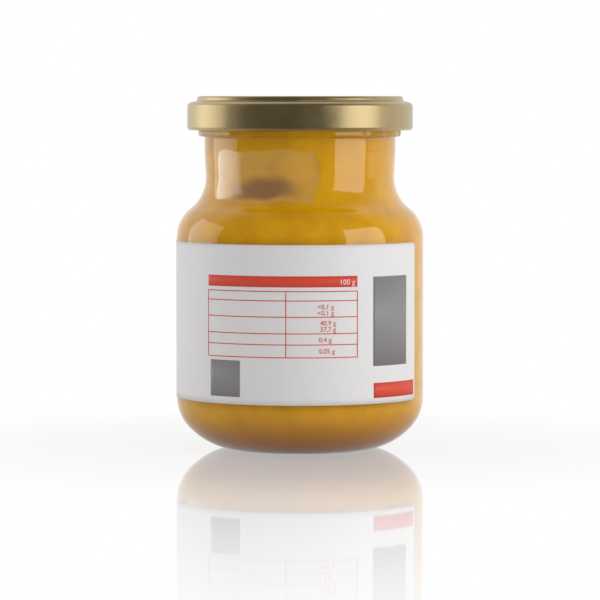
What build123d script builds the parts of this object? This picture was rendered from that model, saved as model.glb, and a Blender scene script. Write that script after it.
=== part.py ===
from build123d import *
from math import acos, asin, cos, degrees, radians, sin
import os

# A small glass jar of marmalade with a twist-off lid and a wrap-round paper label.
# Millimetres, +Z up. The origin is the centre of the ring that the jar stands on.
# The side with the printed panel faces -Y. Every piece is round about Z.

# ---- glass: body and neck ----
body_r = 36.75              # outer radius of the straight body
body_height = 47.2          # straight wall between the heel and the shoulder
wall = 2.4                  # glass thickness of the side
floor_thickness = 3.3       # glass above the standing ring
heel_arc_r = 13.0           # upper arc of the heel, tangent to the body
sole_arc_r = 21.0           # flatter arc below it
heel_turn = 42.0            # degrees that the upper arc turns
sole_turn = 80.0            # degrees turned at the end of the flatter arc
bearing_arc_r = 1.6         # small arc down to the standing ring
bearing_width = 2.0         # flat width of the standing ring
push_up = 1.6               # rise of the dome under the floor
floor_dome = 1.1            # rise of the floor inside
shoulder_arc_r = 11.5       # convex arc from the body
neck_arc_r = 12.0           # hollow arc into the neck
neck_r = 28.0               # outer radius at the waist of the neck
neck_height = 11.8          # from the waist to the bead
collar_height = 4.4         # upright stretch of that, under the bead
collar_step = 0.4           # how much wider the collar is than the waist
collar_round = 8.0

# ---- glass: finish that takes the lid ----
finish_step = 1.3           # how far the finish stands out from the waist
bead_depth = 0.7            # how far the bead stands out from the finish
bead_height = 1.9
bead_round = 0.7
bead_root = 0.4             # fillet where the bead meets neck and finish
finish_height = 9.9         # from the bead to the sealing rim
rim_round = 1.3
thread_count = 4
thread_span = 72.0          # degrees along the rim taken by each thread rib
thread_depth = 1.3
thread_height = 1.5
thread_slope = 2.6          # degrees of climb of each rib
thread_sink = 0.6           # how far a rib is rooted in the glass
thread_rise = 3.7           # middle of a rib above the bead

# ---- lid: one piece of thin sheet with a rolled edge ----
sheet = 0.25
skirt_gap = 2.65            # room between the thread ribs and the skirt
ring_gap = 1.05             # room between the finish and the raised ring
ring_height = 1.35          # raised ring above the outer shoulder of the lid
panel_gap = 0.5             # room between the raised ring's inner side and the bore
ring_lean = 0.9             # slope of that inner side
ring_round = 0.9
panel_drop = 1.0            # centre panel below the raised ring
shoulder_drop = 0.8         # fall of the lid's outer shoulder towards the skirt
skirt_round = 1.4
lid_height = 10.1           # from the rolled edge to the raised ring
curl_width = 2.1
curl_height = 2.2
curl_lip = 0.9              # sheet turned back inside the curl
lug_span = 14.0             # degrees taken by each lug
lug_height = 1.5
lug_lift = 0.75             # lug above the rolled edge
lug_clearance = 0.35        # between a lug and the finish

# ---- marmalade ----
headspace = 8.4             # empty height under the sealing rim
pocket_depth = 2.4          # air pocket against the neck wall, at its top
pocket_foot = 0.6           # the same at its bottom, measured from the bore
pocket_low = 8.2            # bottom of the pocket below the waist
pocket_high = 9.2           # top of the pocket above the waist
pocket_round = 2.0
pocket_from = 175.0         # degrees about Z, from +X, at the pocket's left end
pocket_span = 108.0

# ---- label ----
paper = 0.1
label_low_gap = 0.2         # bare wall between the heel and the label
label_high_gap = 0.7        # bare wall between the label and the shoulder
label_span = 312.0          # degrees about Z, with the gap centred on +X
label_corner = 1.5


# ---- places that follow from the sizes ----
def arc_point(centre, radius, turn):
    """Point on an arc about centre, turned down from level by turn degrees."""
    return (centre[0] + radius * cos(radians(turn)), centre[1] - radius * sin(radians(turn)))


heel_z = (
    heel_arc_r * sin(radians(heel_turn))
    + sole_arc_r * (sin(radians(sole_turn)) - sin(radians(heel_turn)))
    + bearing_arc_r * (1 - sin(radians(sole_turn)))
)
heel_centre = (body_r - heel_arc_r, heel_z)
sole_centre = arc_point(heel_centre, heel_arc_r - sole_arc_r, heel_turn)
bearing_centre = arc_point(sole_centre, sole_arc_r - bearing_arc_r, sole_turn)
bearing_r = bearing_centre[0]

shoulder_z = heel_z + body_height
shoulder_turn = degrees(acos(1 - (body_r - neck_r) / (shoulder_arc_r + neck_arc_r)))
neck_z = shoulder_z + (shoulder_arc_r + neck_arc_r) * sin(radians(shoulder_turn))

bore_r = neck_r - wall
finish_r = neck_r + finish_step
bead_r = finish_r + bead_depth
thread_r = finish_r + thread_depth
bead_z = neck_z + neck_height
bead_top_z = bead_z + bead_height
rim_z = bead_top_z + finish_height

lid_top_z = rim_z + sheet
lid_low_z = lid_top_z - lid_height
skirt_r = thread_r + skirt_gap + sheet
ring_r = finish_r + ring_gap + sheet
ring_in_r = bore_r - panel_gap
fill_z = rim_z - headspace
label_height = body_height - label_low_gap - label_high_gap


def dome(edge_r, edge_z, rise):
    """Arc that climbs by rise from its edge to the axis, where it is level."""
    radius = (edge_r**2 + rise**2) / (2 * rise)
    start = degrees(asin((radius - rise) / radius))
    return CenterArc((0, edge_z + rise - radius), radius, start, 90 - start)


def side_line(inset, sole_end):
    """Side of the jar, inset from the outer face: sole, heel, body, shoulder, neck arc."""
    sole = CenterArc(sole_centre, sole_arc_r - inset, -sole_end, sole_end - heel_turn)
    heel = CenterArc(heel_centre, heel_arc_r - inset, -heel_turn, heel_turn)
    shoulder_centre = (body_r - shoulder_arc_r, shoulder_z)
    shoulder = CenterArc(shoulder_centre, shoulder_arc_r - inset, 0, shoulder_turn)
    Line(heel @ 1, shoulder @ 0)
    neck_centre = (neck_r + neck_arc_r, neck_z)
    neck = CenterArc(neck_centre, neck_arc_r + inset, 180 + shoulder_turn, -shoulder_turn)
    return sole @ 0, neck @ 1


def inner_side_line():
    """Inside of the glass from the middle of the floor up to the waist."""
    drop = sole_centre[1] - floor_thickness
    floor_turn = degrees(asin(drop / (sole_arc_r - wall)))
    floor_edge, waist = side_line(wall, floor_turn)
    middle = dome(floor_edge.X, floor_edge.Y, floor_dome)
    return middle @ 1, waist


# ---- the glass jar ----
with BuildPart() as jar:
    with BuildSketch(Plane.XZ):
        with BuildLine():
            sole_point, waist_point = side_line(0, sole_turn)
            CenterArc(bearing_centre, bearing_arc_r, -90, 90 - sole_turn)
            Line((bearing_r, 0), (bearing_r - bearing_width, 0))
            under = dome(bearing_r - bearing_width, 0, push_up)
            floor_middle, inner_waist = inner_side_line()
            FilletPolyline(
                waist_point,
                (neck_r + collar_step, bead_z - collar_height),
                (neck_r + collar_step, bead_z),
                (bead_r, bead_z),
                (bead_r, bead_top_z),
                (finish_r, bead_top_z + bead_depth),
                (finish_r, rim_z),
                (bore_r, rim_z),
                inner_waist,
                radius=[
                    collar_round,
                    bead_root,
                    bead_round,
                    bead_round,
                    bead_root,
                    rim_round,
                    rim_round,
                ],
            )
            Line(under @ 1, floor_middle)
        make_face()
    revolve(axis=Axis.Z)

    # thread ribs: short rings about an axis that leans towards the rib's own slope
    for number in range(thread_count):
        middle_angle = radians(360 / thread_count * number)
        lean = radians(thread_slope)
        tilted = Plane(
            origin=(0, 0, bead_top_z + thread_rise),
            x_dir=(cos(middle_angle), sin(middle_angle), 0),
            z_dir=(sin(middle_angle) * sin(lean), -cos(middle_angle) * sin(lean), cos(lean)),
        )
        start = tilted.rotated((0, 0, -thread_span / 2))
        with BuildSketch(Plane(origin=start.origin, x_dir=start.x_dir, z_dir=-start.y_dir)):
            with Locations((finish_r + (thread_depth - thread_sink) / 2, 0)):
                RectangleRounded(thread_depth + thread_sink, thread_height, thread_sink / 2)
        revolve(axis=Axis(tilted.origin, tilted.z_dir), revolution_arc=thread_span)
jar.part.label = "jar"

# ---- the twist-off lid ----
with BuildPart() as lid:
    with BuildSketch(Plane.XZ):
        with BuildLine():
            FilletPolyline(
                (0, lid_top_z - panel_drop),
                (ring_in_r - ring_lean, lid_top_z - panel_drop),
                (ring_in_r, lid_top_z),
                (ring_r, lid_top_z),
                (ring_r, lid_top_z - ring_height),
                (skirt_r, lid_top_z - ring_height - shoulder_drop),
                (skirt_r, lid_low_z),
                (skirt_r - curl_width, lid_low_z),
                (skirt_r - curl_width, lid_low_z + curl_height),
                (skirt_r - curl_width + curl_lip, lid_low_z + curl_height),
                radius=[
                    ring_round / 2,
                    ring_round / 2,
                    ring_round,
                    ring_round / 2,
                    skirt_round,
                    curl_width / 2 - sheet / 4,
                    curl_width / 2 - sheet / 4,
                    curl_lip - sheet / 4,
                ],
            )
            offset(amount=sheet, side=Side.RIGHT)
        make_face()
    revolve(axis=Axis.Z)

    # lugs: the curl pressed in under the thread ribs
    lug_in_r = finish_r + lug_clearance
    lug_out_r = skirt_r - curl_width + sheet / 2
    for number in range(thread_count):
        start = Plane.XY.rotated((0, 0, 360 / thread_count * number - lug_span / 2))
        with BuildSketch(Plane(origin=(0, 0, lid_low_z), x_dir=start.x_dir, z_dir=-start.y_dir)):
            with Locations(((lug_in_r + lug_out_r) / 2, lug_lift + lug_height / 2)):
                RectangleRounded(lug_out_r - lug_in_r, lug_height, lug_height / 3)
        revolve(axis=Axis.Z, revolution_arc=lug_span)
lid.part.label = "lid"

# ---- the marmalade, filled to just above the lid's rolled edge ----
with BuildPart() as marmalade:
    with BuildSketch(Plane.XZ):
        with BuildLine():
            floor_middle, inner_waist = inner_side_line()
            Polyline(inner_waist, (bore_r, fill_z), (0, fill_z), floor_middle)
        make_face()
    revolve(axis=Axis.Z)

    # the air pocket: a shallow band that leans out where the wall flares to the shoulder
    pocket_start = Plane.XY.rotated((0, 0, pocket_from))
    pocket_plane = Plane(
        origin=(0, 0, neck_z), x_dir=pocket_start.x_dir, z_dir=-pocket_start.y_dir
    )
    with BuildSketch(pocket_plane):
        with BuildLine():
            FilletPolyline(
                (bore_r + neck_arc_r, pocket_high),
                (bore_r - pocket_depth, pocket_high),
                (bore_r - pocket_foot, -pocket_low),
                (bore_r + neck_arc_r, -pocket_low),
                radius=pocket_round,
            )
            Line((bore_r + neck_arc_r, -pocket_low), (bore_r + neck_arc_r, pocket_high))
        make_face()
    revolve(axis=Axis.Z, revolution_arc=pocket_span, mode=Mode.SUBTRACT)
marmalade.part.label = "marmalade"

# ---- the paper label round the body ----
with BuildPart() as label:
    label_start = Plane.XY.rotated((0, 0, 180 - label_span / 2))
    label_plane = Plane(
        origin=(0, 0, heel_z + label_low_gap), x_dir=label_start.x_dir, z_dir=-label_start.y_dir
    )
    with BuildSketch(label_plane):
        with Locations((body_r, 0)):
            Rectangle(paper, label_height, align=(Align.MIN, Align.MIN))
    revolve(axis=Axis.Z, revolution_arc=label_span)
    corners = label.edges().filter_by(GeomType.LINE).filter_by(lambda edge: edge.length < 2 * paper)
    fillet(corners, radius=label_corner)
label.part.label = "label"

print(f"overall height {lid_top_z:.2f}, lid from {lid_low_z:.2f}, bead {bead_z:.2f} to {bead_top_z:.2f}")
print(f"heel {heel_z:.2f}, shoulder {shoulder_z:.2f}, waist {neck_z:.2f}, fill {fill_z:.2f}")
print(f"skirt {skirt_r:.2f}, ring {ring_r:.2f}, standing ring {bearing_r:.2f}")

os.makedirs("parts", exist_ok=True)
for piece in (jar, lid, marmalade, label):
    export_step(piece.part, f"parts/{piece.part.label}.step")
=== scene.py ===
"""Looks of a marmalade jar: turned glass, filling with an air pocket, gold twist-off lid and paper label.

Lengths of the object are written in millimetres and multiplied by MM; the floor's fades, the lamps and
the camera are in metres. Places round the jar are given as an azimuth,
0 at the side that faces the camera (-Y) and growing towards +X.
"""
from math import acos, asin, atan, cos, degrees, hypot, pi, radians, sin, tan

import bpy
import numpy as np
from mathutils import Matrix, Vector


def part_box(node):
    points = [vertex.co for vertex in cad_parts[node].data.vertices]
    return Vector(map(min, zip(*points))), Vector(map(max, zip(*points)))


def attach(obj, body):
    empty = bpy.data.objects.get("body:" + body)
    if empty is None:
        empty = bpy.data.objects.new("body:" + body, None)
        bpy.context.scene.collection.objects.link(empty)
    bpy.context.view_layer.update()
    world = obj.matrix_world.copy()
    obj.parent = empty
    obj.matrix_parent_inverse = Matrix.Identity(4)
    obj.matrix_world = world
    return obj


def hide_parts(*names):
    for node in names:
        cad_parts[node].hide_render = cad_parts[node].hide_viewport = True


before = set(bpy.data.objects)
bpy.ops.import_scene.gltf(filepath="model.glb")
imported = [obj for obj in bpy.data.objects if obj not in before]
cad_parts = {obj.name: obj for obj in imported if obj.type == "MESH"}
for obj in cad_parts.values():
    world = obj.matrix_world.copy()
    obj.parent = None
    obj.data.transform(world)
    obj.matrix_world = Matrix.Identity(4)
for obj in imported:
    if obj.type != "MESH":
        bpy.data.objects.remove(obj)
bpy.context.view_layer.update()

MM = 0.001

# ---- glass, as the CAD has it ----
body_r = 36.75
wall = 2.4
floor_thickness = 3.3
heel_arc_r = 13.0
heel_turn = 42.0
sole_arc_r = 21.0
sole_turn = 80.0
bearing_arc_r = 1.6
bearing_width = 2.0
push_up = 1.6
floor_dome = 1.1
shoulder_arc_r = 11.5
neck_arc_r = 12.0
neck_r = 28.0
collar_step = 0.4
collar_height = 4.4
collar_round = 8.0
neck_height = 11.8          # from the waist to the bead
bead_step = 2.0             # bead beyond the neck
bead_height = 1.9
bead_depth = 0.7
bead_root = 0.4
bead_round = 0.68
rim_round = 1.3
thread_rise = 3.7           # middle of a thread rib above the bead
thread_depth = 1.3
thread_half_height = 0.7
thread_slope = 2.6          # degrees
sheet = 0.25                # tinplate of the lid
label_low_gap = 0.2         # bare wall between the heel and the label
label_high_gap = 0.7        # bare wall between the label and the shoulder

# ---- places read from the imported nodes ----
label_low, label_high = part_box("label")
rim_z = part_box("lid")[1].z / MM - sheet
fill_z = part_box("marmalade")[1].z / MM
paper_low_z = label_low.z / MM
paper_high_z = label_high.z / MM
shoulder_z = paper_high_z + label_high_gap
heel_z = paper_low_z - label_low_gap

heel_centre = (body_r - heel_arc_r, heel_z)
sole_centre = (
    heel_centre[0] + (heel_arc_r - sole_arc_r) * cos(radians(heel_turn)),
    heel_centre[1] - (heel_arc_r - sole_arc_r) * sin(radians(heel_turn)),
)
bearing_centre = (
    sole_centre[0] + (sole_arc_r - bearing_arc_r) * cos(radians(sole_turn)),
    bearing_arc_r,
)
bearing_r = bearing_centre[0]
shoulder_turn = degrees(acos(1 - (body_r - neck_r) / (shoulder_arc_r + neck_arc_r)))
neck_z = shoulder_z + (shoulder_arc_r + neck_arc_r) * sin(radians(shoulder_turn))
bore_r = neck_r - wall
collar_r = neck_r + collar_step
bead_z = neck_z + neck_height
bead_top_z = bead_z + bead_height
finish_r = neck_r + bead_step - bead_depth

# ---- air pocket ----
pocket_left, pocket_right = -66.0, 12.0      # azimuths of its ends
pocket_low_z, pocket_high_z = 72.4, 89.6
pocket_shallow = 0.45                        # depth of the pocket's rolled upper part
pocket_deep = 1.9                            # further depth of the hollow under the roll
hollow_azimuth, hollow_half_turn = -25.0, 21.0
hollow_z, hollow_half_height = 77.2, 3.9

# ---- label ----
paper_r = body_r + 0.1
paper_left, paper_right = -246.0, 66.0       # azimuths of its ends
paper_corner = 1.5
ink_lift = 0.035
ink_film = 0.03


# ---------------------------------------------------------------- lines and meshes
def arc(centre, radius, start, end, steps):
    """Centre plus radius times (cos, sin) of angles spaced evenly from start to end, in degrees."""
    turn = np.radians(np.linspace(start, end, steps))
    return np.stack([centre[0] + radius * np.cos(turn), centre[1] + radius * np.sin(turn)], 1)


def span(start, end, steps):
    """Points spaced evenly on the straight line from start to end."""
    return np.linspace(start, end, steps)


def crowned(edge_r, edge_z, rise, steps):
    """Arc over the axis: height is edge_z + rise * (1 - (r / edge_r)^2), from the axis out to the edge."""
    r = np.linspace(0, edge_r, steps)
    return np.stack([r, edge_z + rise * (1 - (r / edge_r) ** 2)], 1)


def rounded(corners, radii, steps=7):
    """Straight runs through the corners, each inner corner replaced by an arc tangent to its two runs."""
    corners = np.array(corners, float)
    line = [corners[:1]]
    for before, corner, after, radius in zip(corners, corners[1:], corners[2:], radii):
        back = (before - corner) / hypot(*(before - corner))
        ahead = (after - corner) / hypot(*(after - corner))
        half = acos(np.clip(back @ ahead, -1, 1)) / 2
        reach = radius / tan(half)
        middle = (back + ahead) / hypot(*(back + ahead)) * radius / sin(half) + corner
        first, last = corner + back * reach - middle, corner + ahead * reach - middle
        share = np.linspace(0, 1, steps)[:, None]
        way = first * (1 - share) + last * share
        line.append(middle + way / np.linalg.norm(way, axis=1, keepdims=True) * radius)
    line.append(corners[-1:])
    return np.concatenate(line)


def side_line(inset, sole_end):
    """Side of the jar from its sole up to its waist, inset from the outer face, as five tangent stretches."""
    shoulder_centre = (body_r - shoulder_arc_r, shoulder_z)
    neck_centre = (neck_r + neck_arc_r, neck_z)
    return np.concatenate([
        arc(sole_centre, sole_arc_r - inset, -sole_end, -heel_turn, 16)[:-1],
        arc(heel_centre, heel_arc_r - inset, -heel_turn, 0, 18)[:-1],
        span((body_r - inset, heel_z), (body_r - inset, shoulder_z), 24)[:-1],
        arc(shoulder_centre, shoulder_arc_r - inset, 0, shoulder_turn, 20)[:-1],
        arc(neck_centre, neck_arc_r + inset, 180 + shoulder_turn, 180, 26),
    ])


def inner_side_line(inset):
    """Inside of the glass from the middle of the floor up to the waist."""
    floor_turn = degrees(asin((sole_centre[1] - floor_thickness) / (sole_arc_r - wall)))
    side = side_line(inset, floor_turn)
    return np.concatenate([crowned(side[0, 0], side[0, 1], floor_dome, 16)[:-1], side])


def mesh_piece(name, points, faces, smooth=True):
    """Object with its place in its mesh, its corners given in millimetres."""
    mesh = bpy.data.meshes.new(name)
    mesh.from_pydata((points * MM).tolist(), [], faces)
    mesh.polygons.foreach_set("use_smooth", np.full(len(mesh.polygons), smooth))
    mesh.update()
    piece = bpy.data.objects.new(name, mesh)
    bpy.context.scene.collection.objects.link(piece)
    return piece


def turned(name, r, z, angles):
    """Closed surface of revolution: radius r and height z are grids of line step by angle, the first and
    last line steps lie on the axis, and each becomes one corner that a fan of triangles closes."""
    rows, columns = r.shape
    x, y = r * np.sin(angles), -r * np.cos(angles)
    inner = np.stack([x, y, z], 2)[1:-1].reshape(-1, 3)
    poles = [[0, 0, z[0].mean()], [0, 0, z[-1].mean()]]
    points = np.concatenate([inner, poles])
    index = np.arange((rows - 2) * columns).reshape(rows - 2, columns)
    after = np.roll(index, -1, axis=1)
    quads = np.stack([index[:-1], after[:-1], after[1:], index[1:]], 2).reshape(-1, 4)
    first, last = len(inner), len(inner) + 1
    low = np.stack([np.full(columns, first), after[0], index[0]], 1)
    high = np.stack([np.full(columns, last), index[-1], after[-1]], 1)
    return mesh_piece(name, points, quads.tolist() + low.tolist() + high.tolist())


def around(steps):
    """Azimuths of the grid's columns, in radians, once round without repeating the first."""
    return np.linspace(-pi, pi, steps, endpoint=False)


def smooth_step(value, low, high):
    """0 below low, 1 above high and 3t^2 - 2t^3 between."""
    t = np.clip((value - low) / (high - low), 0, 1)
    return t * t * (3 - 2 * t)


def wrapped(name, grids, radius, film):
    """Grids of paper coordinates (millimetres along the paper, height) laid on a cylinder of that radius,
    azimuth = distance / radius, and given the film's thickness inwards."""
    points, faces, count = [], [], 0
    for grid in grids:
        turn, height = grid[..., 0] / paper_r, grid[..., 1]
        points.append(np.stack([radius * np.sin(turn), -radius * np.cos(turn), height], 2).reshape(-1, 3))
        index = count + np.arange(turn.size).reshape(turn.shape)
        quads = np.stack([index[:-1, :-1], index[1:, :-1], index[1:, 1:], index[:-1, 1:]], 2)
        faces += quads.reshape(-1, 4).tolist()
        count += turn.size
    piece = mesh_piece(name, np.concatenate(points), faces)
    thicken = piece.modifiers.new("film", "SOLIDIFY")
    thicken.thickness = film * MM
    thicken.offset = -1
    return piece


def oblong(left, right, low, high):
    """Rectangle in paper coordinates, split every millimetre or so along the curve."""
    along = np.linspace(left, right, max(2, int(abs(right - left)) + 2))
    return np.stack(np.meshgrid(along, np.array([low, high]), indexing="ij"), 2)


def slice_part(centre, inner, outer, start, end):
    """Stretch of a ring in paper coordinates, a grid of distance from the centre by angle."""
    turn = np.radians(np.linspace(start, end, 25))
    reach, turn = np.meshgrid(np.linspace(inner, outer, 9), turn, indexing="ij")
    return np.stack([centre[0] + reach * np.cos(turn), centre[1] + reach * np.sin(turn)], 2)


# ---------------------------------------------------------------- materials
def colour(code):
    """sRGB hex to linear RGBA."""
    part = np.array([int(code[i:i + 2], 16) for i in (0, 2, 4)]) / 255
    linear = np.where(part <= 0.04045, part / 12.92, ((part + 0.055) / 1.055) ** 2.4)
    return (*linear.tolist(), 1.0)


def add(tree, kind, settings=None, links=None):
    """Adds a node, sets its attributes and sockets, and links its inputs."""
    node = tree.nodes.new(kind)
    for key, value in (settings or {}).items():
        if isinstance(key, str) and hasattr(node, key):
            setattr(node, key, value)
        else:
            node.inputs[key].default_value = value
    for key, source in (links or {}).items():
        tree.links.new(source, node.inputs[key])
    return node


def material(name):
    """New material with only its output node."""
    made = bpy.data.materials.new(name)
    made.use_nodes = True
    tree = made.node_tree
    tree.nodes.clear()
    return made, tree, tree.nodes.new("ShaderNodeOutputMaterial")


def spot_pattern(tree, cell_mm, detail=3.0):
    """Cloudy pattern on Object coordinates, its cells of a real size."""
    coordinates = add(tree, "ShaderNodeTexCoord")
    return add(tree, "ShaderNodeTexNoise", {"Scale": 1 / (cell_mm * MM), "Detail": detail},
               {"Vector": coordinates.outputs["Object"]})


def ramp(tree, source, low, high, first, last):
    """Colours from first to last as the source goes from low to high."""
    node = add(tree, "ShaderNodeValToRGB", links={"Fac": source})
    for stop, at, code in zip(node.color_ramp.elements, (low, high), (first, last)):
        stop.position = at
        stop.color = colour(code)
    return node


def flint_glass():
    """Soda-lime flint glass, blown in a mould: clear and smooth, with long faint waves from the mould.
    It lets shadow and diffuse rays straight through, so what it holds is lit."""
    made, tree, out = material("flint_glass_moulded")
    waves = spot_pattern(tree, 9.0, 1.0)
    bump = add(tree, "ShaderNodeBump", {"Strength": 0.25, "Distance": 0.15 * MM},
               {"Height": waves.outputs["Fac"]})
    glass = add(tree, "ShaderNodeBsdfPrincipled",
                {"Base Color": colour("FBFDFC"), "Roughness": 0.0, "IOR": 1.52, "Transmission Weight": 1.0},
                {"Normal": bump.outputs["Normal"]})
    clear = add(tree, "ShaderNodeBsdfTransparent", {"Color": colour("F8FAF9")})
    path = add(tree, "ShaderNodeLightPath")
    through = add(tree, "ShaderNodeMath", {"operation": "MAXIMUM"},
                  {0: path.outputs["Is Shadow Ray"], 1: path.outputs["Is Diffuse Ray"]})
    mix = add(tree, "ShaderNodeMixShader",
              links={0: through.outputs[0], 1: glass.outputs[0], 2: clear.outputs[0]})
    tree.links.new(mix.outputs[0], out.inputs["Surface"])
    return made


def orange_marmalade():
    """Orange marmalade, cooked to a fine set puree: cloudy and a little translucent, with fine pale pulp,
    darker at its foot, and wet where it stands free of the glass, with painted shade darkening the pocket's
    hollow."""
    made, tree, out = material("orange_marmalade_set")
    cloud = spot_pattern(tree, 7.0, 4.0)
    body = ramp(tree, cloud.outputs["Fac"], 0.3, 0.7, "DE9C00", "EEAE00")
    pulp = spot_pattern(tree, 0.8, 2.0)
    speck = ramp(tree, pulp.outputs["Fac"], 0.60, 0.72, "000000", "FFFFFF")
    coordinates = add(tree, "ShaderNodeTexCoord")
    height = add(tree, "ShaderNodeSeparateXYZ", links={0: coordinates.outputs["Object"]})
    foot = add(tree, "ShaderNodeMapRange",
               {1: 3 * MM, 2: 15 * MM, 3: 1.0, 4: 0.0, "interpolation_type": "SMOOTHSTEP"},
               {0: height.outputs["Z"]})
    dark = add(tree, "ShaderNodeMix", {"data_type": "RGBA", 7: colour("B06C02")},
               {0: foot.outputs[0], 6: body.outputs["Color"]})
    share = add(tree, "ShaderNodeMath", {"operation": "MULTIPLY", 1: 0.10}, {0: speck.outputs["Color"]})
    flecked = add(tree, "ShaderNodeMix", {"data_type": "RGBA", 7: colour("ECC458")},
                  {0: share.outputs[0], 6: dark.outputs[2]})
    free = add(tree, "ShaderNodeAttribute", {"attribute_name": "free"})
    # Painted shade in the pocket's hollow: as the depth free grows from 0.25 to 0.95, up to three quarters
    # dark brown 7E4000 is mixed into the colour.
    deep = add(tree, "ShaderNodeMapRange", {1: 0.25, 2: 0.95, 3: 0.0, 4: 0.75}, {0: free.outputs["Fac"]})
    painted_hollow_shade = add(tree, "ShaderNodeMix", {"data_type": "RGBA", 7: colour("7E4000")},
                 {0: deep.outputs[0], 6: flecked.outputs[2]})
    wet = add(tree, "ShaderNodeMapRange", {1: 0.0, 2: 0.4, 3: 0.55, 4: 0.12}, {0: free.outputs["Fac"]})
    bump = add(tree, "ShaderNodeBump", {"Strength": 0.3, "Distance": 0.1 * MM},
               {"Height": pulp.outputs["Fac"]})
    skin = add(tree, "ShaderNodeBsdfPrincipled",
               {"Subsurface Weight": 0.25, "Subsurface Radius": (1.0, 0.5, 0.08),
                "Subsurface Scale": 2.0 * MM, "IOR": 1.4, "Specular IOR Level": 0.12},
               {"Base Color": painted_hollow_shade.outputs[2], "Roughness": wet.outputs[0],
                "Normal": bump.outputs["Normal"]})
    tree.links.new(skin.outputs[0], out.inputs["Surface"])
    return made


def gold_tinplate():
    """Tinplate pressed to a lid under gold lacquer: satin metal, slightly uneven in gloss."""
    made, tree, out = material("tinplate_gold_lacquered")
    cloud = spot_pattern(tree, 5.0, 3.0)
    tint = ramp(tree, cloud.outputs["Fac"], 0.3, 0.7, "AE9A6E", "B8A479")
    grain = spot_pattern(tree, 0.35, 2.0)
    gloss = add(tree, "ShaderNodeMapRange", {1: 0.3, 2: 0.7, 3: 0.34, 4: 0.42}, {0: cloud.outputs["Fac"]})
    bump = add(tree, "ShaderNodeBump", {"Strength": 0.05, "Distance": 0.02 * MM},
               {"Height": grain.outputs["Fac"]})
    metal = add(tree, "ShaderNodeBsdfPrincipled",
                {"Metallic": 1.0, "Coat Weight": 0.3, "Coat Roughness": 0.2},
                {"Base Color": tint.outputs["Color"], "Roughness": gloss.outputs[0],
                 "Normal": bump.outputs["Normal"]})
    tree.links.new(metal.outputs[0], out.inputs["Surface"])
    return made


def label_paper():
    """Coated label paper: near white, semi-matt, with faint fibre."""
    made, tree, out = material("label_paper_coated")
    fibre = spot_pattern(tree, 0.6, 4.0)
    tint = ramp(tree, fibre.outputs["Fac"], 0.3, 0.7, "EAE8E8", "F0EEEE")
    bump = add(tree, "ShaderNodeBump", {"Strength": 0.1, "Distance": 0.02 * MM},
               {"Height": fibre.outputs["Fac"]})
    sheet = add(tree, "ShaderNodeBsdfPrincipled", {"Roughness": 0.5, "Specular IOR Level": 0.35},
                {"Base Color": tint.outputs["Color"], "Normal": bump.outputs["Normal"]})
    tree.links.new(sheet.outputs[0], out.inputs["Surface"])
    return made


def printing_ink(name, first, last):
    """Offset ink on coated paper, its density a little uneven."""
    made, tree, out = material(name)
    grain = spot_pattern(tree, 0.3, 3.0)
    tint = ramp(tree, grain.outputs["Fac"], 0.3, 0.7, first, last)
    film = add(tree, "ShaderNodeBsdfPrincipled", {"Roughness": 0.45}, {"Base Color": tint.outputs["Color"]})
    tree.links.new(film.outputs[0], out.inputs["Surface"])
    return made


# ---------------------------------------------------------------- pieces
def make_jar():
    """Glass turned from one line: under the base, up the outside, over the rim and down the inside. The
    radius gains the four thread ribs, a bump across each rib's rising line."""
    under_edge = bearing_r - bearing_width
    outside = side_line(0, sole_turn)
    finish = rounded(
        [outside[-1], (collar_r, bead_z - collar_height), (collar_r, bead_z), (neck_r + bead_step, bead_z),
         (neck_r + bead_step, bead_top_z), (finish_r, bead_top_z + bead_depth), (finish_r, bead_top_z + 1.6)],
        [collar_round, bead_root, bead_round, bead_round, bead_root],
    )
    inner = inner_side_line(wall)
    line = np.concatenate([
        crowned(under_edge, 0, push_up, 14),
        arc(bearing_centre, bearing_arc_r, -90, -sole_turn, 4),
        outside[1:-1],
        finish,
        span((finish_r, bead_top_z + 2.0), (finish_r, rim_z - 2.0), 22),
        rounded([(finish_r, rim_z - 1.6), (finish_r, rim_z), (bore_r, rim_z), (bore_r, rim_z - 1.6)],
                [rim_round, rim_round]),
        span((bore_r, rim_z - 2.0), inner[-1], 12)[:-1],
        inner[::-1],
    ])
    angles = around(240)
    r = np.repeat(line[:, :1], len(angles), 1)
    z = np.repeat(line[:, 1:], len(angles), 1)
    quarter = np.mod(angles + pi / 4, pi / 2) - pi / 4
    rib_z = bead_top_z + thread_rise + finish_r * quarter * tan(radians(thread_slope))
    rib = np.exp(-((z - rib_z) / thread_half_height) ** 4)
    rib = rib * (1 - smooth_step(np.abs(quarter), radians(32), radians(36)))
    r = r + thread_depth * rib * (np.abs(r - finish_r) < 0.01)
    on_bead = smooth_step(z, bead_z, bead_z + 0.5) * (1 - smooth_step(z, bead_top_z, bead_top_z + 0.4))
    on_bead = on_bead * (r > collar_r)
    ripple = 0.10 * np.sin(angles * 23) + 0.07 * np.sin(angles * 41 + 1) + 0.05 * np.sin(angles * 67 + 2)
    r = r + ripple * on_bead
    return turned("glass_jar", r, z, angles)


def pocket_hollow(azimuth, z):
    """How far the marmalade stands back from the bore: a shallow window in azimuth and height with
    wandering edges, and in its lower part a deep oval, exp(-(a^2 + b^2)^2) of the distances a and b
    from its middle."""
    rise = 0.35 * np.sin(azimuth * 0.13) + 0.25 * np.sin(azimuth * 0.31 + 2.0)
    wander = 2.2 * np.sin(z * 0.35 + 1.0)
    ends = smooth_step(azimuth, pocket_left, pocket_left + 14)
    ends = ends * (1 - smooth_step(azimuth + wander, pocket_right - 5, pocket_right))
    heights = smooth_step(z + rise, pocket_low_z, pocket_low_z + 3.0)
    heights = heights * (1 - smooth_step(z + rise, pocket_high_z - 3.0, pocket_high_z))
    across = (azimuth - hollow_azimuth) / hollow_half_turn
    up = (z - hollow_z + rise) / hollow_half_height
    return ends * heights * (pocket_shallow + pocket_deep * np.exp(-((across**2 + up**2) ** 2)))


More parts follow.
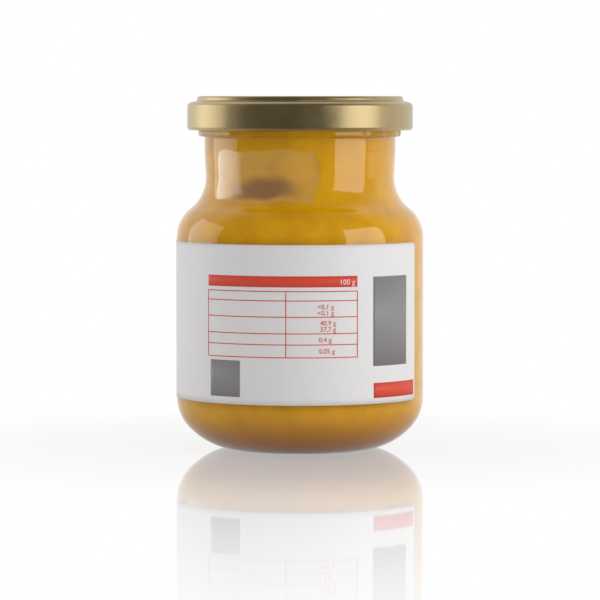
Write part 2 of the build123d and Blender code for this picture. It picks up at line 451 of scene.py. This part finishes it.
def make_marmalade():
    """Filling turned from the inner line of the glass, a hair into the wall, with the pocket's depth taken
    off its radius; its top is a low crown over the axis."""
    reach = 0.08
    inner = inner_side_line(wall - reach)
    inner[:16, 1] -= reach
    top_r = bore_r + reach
    line = np.concatenate([
        inner[:-1],
        span(inner[-1], (top_r, fill_z - 0.6), 56),
        crowned(top_r, fill_z - 0.5, 0.4, 14)[::-1],
    ])
    angles = around(400)
    r = np.repeat(line[:, :1], len(angles), 1)
    z = np.repeat(line[:, 1:], len(angles), 1)
    on_side = (z > 60) & (r > 20)
    hollow = np.where(on_side, pocket_hollow(np.degrees(angles)[None, :] + 0 * z, z), 0)
    piece = turned("marmalade_filling", np.maximum(r - hollow, 0), z, angles)
    # The pocket's depth, kept as the point attribute free, makes the marmalade glossier there and paints
    # shade on it in the hollow.
    free = np.append(hollow[1:-1].reshape(-1) / (pocket_shallow + pocket_deep), [0, 0])
    piece.data.attributes.new("free", "FLOAT", "POINT").data.foreach_set("value", free)
    return piece


def make_label():
    """Paper round the body, a grid of distance by height whose two ends have rounded corners."""
    left, right = (radians(a) * paper_r for a in (paper_left, paper_right))
    along = np.concatenate([
        left + paper_corner * (1 - np.cos(np.linspace(0, pi / 2, 9))),
        np.linspace(left + paper_corner, right - paper_corner, 300)[1:-1],
        right - paper_corner * (1 - np.cos(np.linspace(pi / 2, 0, 9))),
    ])
    end = np.minimum(along - left, right - along)
    short = np.clip(paper_corner - end, 0, paper_corner)
    cut = paper_corner - np.sqrt(np.maximum(paper_corner**2 - short**2, 0))
    share = np.linspace(0, 1, 25)
    low, high = paper_low_z + cut, paper_high_z - cut
    height = low[:, None] * (1 - share) + high[:, None] * share
    return wrapped("paper_label", [np.stack([np.repeat(along[:, None], 25, 1), height], 2)], paper_r, 0.1)


def figure(words, right, base, size):
    """Figures set from a font, made a mesh, ended at right on the paper and bent round the jar."""
    curve = bpy.data.curves.new("figure", "FONT")
    curve.body, curve.size, curve.align_x, curve.extrude = words, size, "RIGHT", ink_film / 2
    holder = bpy.data.objects.new("figure", curve)
    bpy.context.scene.collection.objects.link(holder)
    bpy.context.view_layer.update()
    mesh = bpy.data.meshes.new_from_object(holder.evaluated_get(bpy.context.evaluated_depsgraph_get()))
    bpy.data.objects.remove(holder)
    co = np.empty(len(mesh.vertices) * 3)
    mesh.vertices.foreach_get("co", co)
    co = co.reshape(-1, 3)
    turn, radius = (co[:, 0] + right) / paper_r, paper_r + ink_lift + 0.02 + co[:, 2]
    points = np.stack([radius * np.sin(turn), -radius * np.cos(turn), co[:, 1] + base], 1)
    return points, [tuple(p.vertices) for p in mesh.polygons]


def figures(name, rows):
    """All figures of one ink joined in one mesh."""
    points, faces, count = [], [], 0
    for row in rows:
        more, sides = figure(*row)
        points.append(more)
        faces += [tuple(i + count for i in side) for side in sides]
        count += len(more)
    return mesh_piece(name, np.concatenate(points), faces, smooth=False)


table_left, table_right = -29.7, 17.2
head_low, head_high = 49.7, 52.9
frame_low, frame_high = 29.4, 48.5
rule = 0.28


def make_red_print():
    """Red ink: the bar over the table, the table's frame, its rules, the plain box at the right, and two
    bands on the far side."""
    rows = [frame_low, 45.8, 41.1, 36.3, 33.1, frame_high]
    uprights = [table_left, -4.1, table_right]
    grids = [oblong(table_left, table_right, head_low, head_high)]
    grids += [oblong(table_left, table_right, z - rule / 2, z + rule / 2) for z in rows]
    grids += [oblong(x - rule / 2, x + rule / 2, frame_low, frame_high) for x in uprights]
    grids.append(oblong(22.8, 41.5, 17.2, 21.6))
    front = -pi * paper_r
    grids += [oblong(front - 42, front + 42, low, low + 3.0) for low in (19.0, 55.5)]
    return wrapped("red_print", grids, paper_r + ink_lift, ink_film)


def make_orange_print():
    """Orange ink on the far side: three plain citrus slices, each a ring round eight segments."""
    front = -pi * paper_r
    grids = []
    for offset, size in ((-23, 8.0), (0, 12.0), (23, 8.0)):
        centre = (front + offset, 38.7)
        grids.append(slice_part(centre, size * 0.88, size, 0, 360))
        grids += [slice_part(centre, size * 0.1, size * 0.8, a + 3.5, a + 41.5) for a in range(0, 360, 45)]
    return wrapped("orange_print", grids, paper_r + ink_lift, ink_film)


def make_grey_print():
    """Plain grey fields at the two code places."""
    grids = [oblong(-28.8, -18.1, 17.7, 28.3), oblong(22.6, 36.9, 26.5, 52.5)]
    return wrapped("grey_fields", grids, paper_r + ink_lift, ink_film)


# ---------------------------------------------------------------- floor, light and camera
def make_floor():
    """Glossy white sheet: shows the object's shadow and a reflection that fades away from the object."""
    across = np.linspace(-3000, 3000, 3)
    x, y = np.meshgrid(across, across, indexing="ij")
    points = np.stack([x, y, np.full_like(x, -0.02)], 2).reshape(-1, 3)
    index = np.arange(9).reshape(3, 3)
    faces = np.stack([index[:-1, :-1], index[1:, :-1], index[1:, 1:], index[:-1, 1:]], 2).reshape(-1, 4)
    piece = mesh_piece("floor", points, faces.tolist(), smooth=False)
    made, tree, out = material("acrylic_white_glossy")
    coordinates = add(tree, "ShaderNodeTexCoord")
    away = add(tree, "ShaderNodeVectorMath", {"operation": "LENGTH"}, {0: coordinates.outputs["Object"]})
    fade = add(tree, "ShaderNodeMapRange",
               {1: 0.03, 2: 0.46, 3: 0.52, 4: 0.0, "interpolation_type": "SMOOTHSTEP"},
               {0: away.outputs["Value"]})
    plain = add(tree, "ShaderNodeBsdfDiffuse", {"Color": colour("F2F2F2")})
    path = add(tree, "ShaderNodeLightPath")
    apart = add(tree, "ShaderNodeSeparateXYZ", links={0: coordinates.outputs["Object"]})
    behind = add(tree, "ShaderNodeMapRange",
               {1: -0.15, 2: 0.1, 3: 0.14, 4: 1.0, "interpolation_type": "SMOOTHSTEP"},
                 {0: apart.outputs["Y"]})
    level = add(tree, "ShaderNodeMix", {"data_type": "FLOAT", 2: 1.0},
                {0: path.outputs["Is Glossy Ray"], 3: behind.outputs[0]})
    glow = add(tree, "ShaderNodeEmission", {"Color": (1, 1, 1, 1)}, {"Strength": level.outputs[0]})
    seen = add(tree, "ShaderNodeMath", {"operation": "MAXIMUM"},
               {0: path.outputs["Is Camera Ray"], 1: path.outputs["Is Transmission Ray"]})
    seen = add(tree, "ShaderNodeMath", {"operation": "MAXIMUM"},
               {0: seen.outputs[0], 1: path.outputs["Is Glossy Ray"]})
    white = add(tree, "ShaderNodeMapRange",
               {1: 0.05, 2: 0.16, 3: 0.7, 4: 1.0, "interpolation_type": "SMOOTHSTEP"},
                {0: away.outputs["Value"]})
    part = add(tree, "ShaderNodeMath", {"operation": "MULTIPLY"}, {0: seen.outputs[0], 1: white.outputs[0]})
    ground = add(tree, "ShaderNodeMixShader",
                 links={0: part.outputs[0], 1: plain.outputs[0], 2: glow.outputs[0]})
    gloss = add(tree, "ShaderNodeBsdfGlossy", {"Color": (1, 1, 1, 1), "Roughness": 0.03})
    share = add(tree, "ShaderNodeMath", {"operation": "MULTIPLY"},
                {0: fade.outputs[0], 1: path.outputs["Is Camera Ray"]})
    mix = add(tree, "ShaderNodeMixShader",
              links={0: share.outputs[0], 1: ground.outputs[0], 2: gloss.outputs[0]})
    tree.links.new(mix.outputs[0], out.inputs["Surface"])
    piece.data.materials.append(made)
    return piece


def make_world():
    """White to the camera and through the glass; for reflections white behind and dim on the camera's
    side; an even level for diffuse light."""
    world = bpy.data.worlds.new("studio")
    bpy.context.scene.world = world
    world.use_nodes = True
    tree = world.node_tree
    tree.nodes.clear()
    coordinates = add(tree, "ShaderNodeTexCoord")
    apart = add(tree, "ShaderNodeSeparateXYZ", links={0: coordinates.outputs["Generated"]})
    behind = add(tree, "ShaderNodeMapRange",
               {1: -0.15, 2: 0.5, 3: 0.14, 4: 1.0, "interpolation_type": "SMOOTHSTEP"},
                 {0: apart.outputs["Y"]})
    path = add(tree, "ShaderNodeLightPath")
    level = add(tree, "ShaderNodeMix", {"data_type": "FLOAT", 2: 0.55},
                {0: path.outputs["Is Glossy Ray"], 3: behind.outputs[0]})
    seen = add(tree, "ShaderNodeMath", {"operation": "MAXIMUM"},
               {0: path.outputs["Is Camera Ray"], 1: path.outputs["Is Transmission Ray"]})
    level = add(tree, "ShaderNodeMix", {"data_type": "FLOAT", 3: 1.0},
                {0: seen.outputs[0], 2: level.outputs[0]})
    back = add(tree, "ShaderNodeBackground", {"Color": (1, 1, 1, 1)}, {"Strength": level.outputs[0]})
    out = tree.nodes.new("ShaderNodeOutputWorld")
    tree.links.new(back.outputs[0], out.inputs["Surface"])


softbox_distance, softbox_height, softbox_middle = 0.7, 0.75, 0.12     # metres


def softbox(name, azimuth, width, radiance):
    """Soft lamp at that azimuth, turned to the jar; power is radiance times pi times its area."""
    lamp = bpy.data.lights.new(name, "AREA")
    lamp.shape, lamp.size, lamp.size_y = "RECTANGLE", width, softbox_height
    lamp.energy = radiance * pi * width * softbox_height
    holder = bpy.data.objects.new(name, lamp)
    bpy.context.scene.collection.objects.link(holder)
    turn = radians(azimuth)
    holder.location = (softbox_distance * sin(turn), -softbox_distance * cos(turn), softbox_middle)
    aim = Vector((0, 0, softbox_middle)) - holder.location
    holder.rotation_euler = aim.to_track_quat("-Z", "Y").to_euler()
    holder.visible_camera = False


def make_camera():
    """Long lens a little above the lid's height, aimed at the middle of the view."""
    distance, height, middle = 1.05, 0.104, 0.0440
    camera = bpy.data.cameras.new("camera")
    camera.angle = radians(9.72)
    holder = bpy.data.objects.new("camera", camera)
    bpy.context.scene.collection.objects.link(holder)
    holder.location = (0, -distance, height)
    holder.rotation_euler = (pi / 2 - atan((height - middle) / distance), 0, 0)
    bpy.context.scene.camera = holder


# ---------------------------------------------------------------- assembly
def place(piece, finish, node=None):
    """Gives a piece its material and its body, and hides the node that it stands for."""
    piece.data.materials.clear()
    piece.data.materials.append(finish)
    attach(piece, "root")
    if node:
        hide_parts(node)


bpy.context.scene.view_settings.view_transform = "Standard"
red_ink = printing_ink("offset_ink_red", "E2452E", "E85038")
place(make_jar(), flint_glass(), "jar")
place(make_marmalade(), orange_marmalade(), "marmalade")
place(make_label(), label_paper(), "label")
place(make_red_print(), red_ink)
place(make_orange_print(), printing_ink("offset_ink_orange", "EC8A1C", "F29628"))
place(make_grey_print(), printing_ink("offset_ink_grey", "8C8A8A", "949292"))
place(figures("figures_white", [("100 g", 16.4, 50.4, 2.2)]),
      printing_ink("offset_ink_white_gap", "EAE8E8", "F0EEEE"))
place(figures("figures_red", [
    ("<0,1 g", 9.9, 43.4, 1.95), ("<0,1 g", 9.9, 41.6, 1.95), ("40,9 g", 10.5, 38.7, 1.95),
    ("37,7 g", 10.5, 36.9, 1.95), ("0,4 g", 9.2, 33.9, 1.95), ("0,05 g", 10.2, 30.6, 1.95),
]), red_ink)
lid_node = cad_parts["lid"]
lid_node.data.materials.clear()
lid_node.data.materials.append(gold_tinplate())

make_floor()
make_world()
softbox("softbox_right", 63, 0.54, 2.6)
softbox("softbox_left", -103, 0.58, 1.3)
make_camera()
